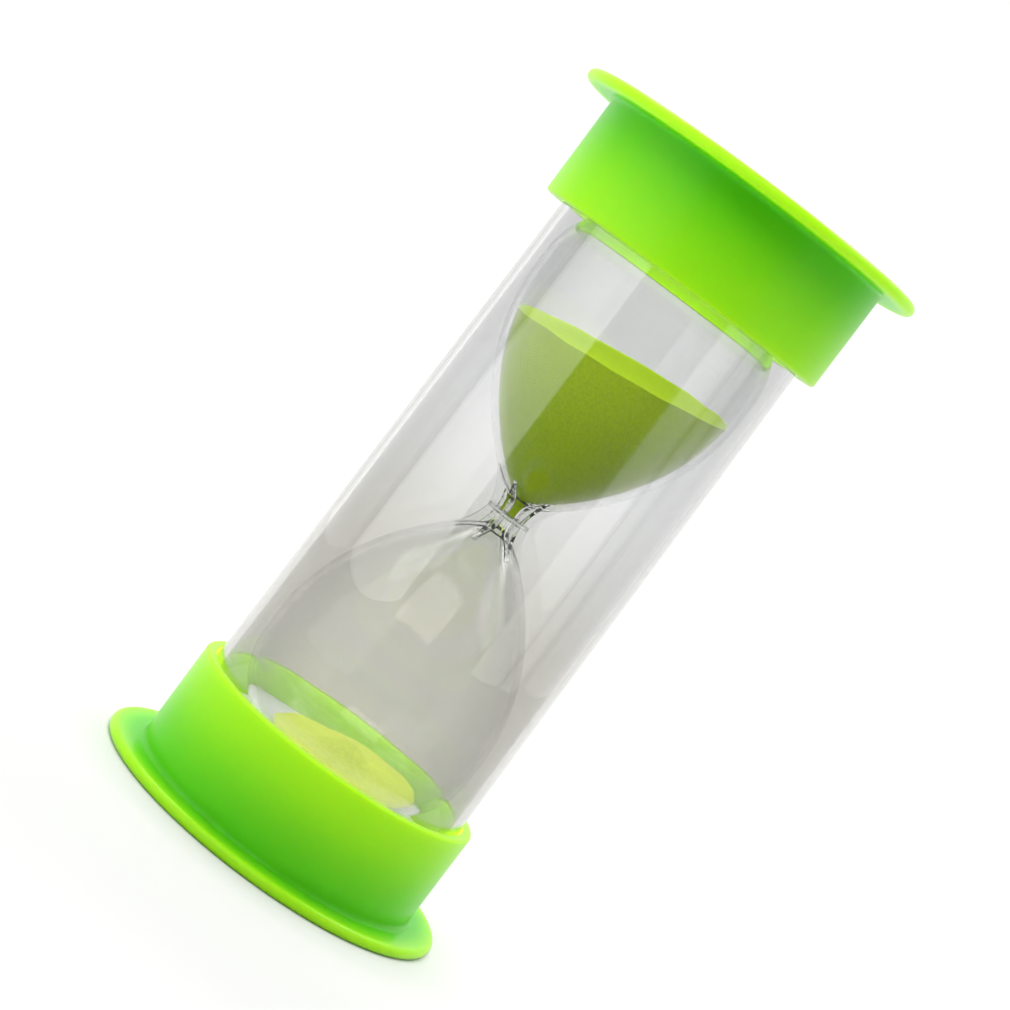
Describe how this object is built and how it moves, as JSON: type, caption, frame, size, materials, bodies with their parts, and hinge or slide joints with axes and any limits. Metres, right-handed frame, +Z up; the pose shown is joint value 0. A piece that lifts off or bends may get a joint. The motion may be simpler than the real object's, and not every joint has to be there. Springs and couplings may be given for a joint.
{
  "type": "hourglass",
  "caption": "Sand timer: clear ribbed-neck bulbs with coloured sand inside a clear tube, held between round flanged moulded end caps.",
  "frame": {"origin": "centre of the lower cap's outer end face, on which the timer stands", "axes": "+Z up the timer's axis of revolution from the lower cap to the upper cap; +X to the right and +Y away from the viewer, the way both sand surfaces rise"},
  "size_m": [0.059, 0.059, 0.12],
  "materials": {
    "cap_plastic": "satin moulded lime green",
    "tube_plastic": "clear, polished",
    "bulb_plastic": "clear, polished",
    "orifice_plastic": "clear, satin",
    "closure_plastic": "white, matt",
    "pad_foam": "white closed-cell foam",
    "sand": "fine dyed yellow-green grains"
  },
  "bodies": {
    "root": {"lower_cap": "cap_plastic", "upper_cap": "cap_plastic", "outer_tube": "tube_plastic", "lower_bulb": "bulb_plastic", "upper_bulb": "bulb_plastic", "orifice_disc": "orifice_plastic", "lower_closure": "closure_plastic", "upper_closure": "closure_plastic", "lower_pad": "pad_foam", "upper_pad": "pad_foam", "lower_sand": "sand", "upper_sand": "sand"}
  },
  "joints": []
}
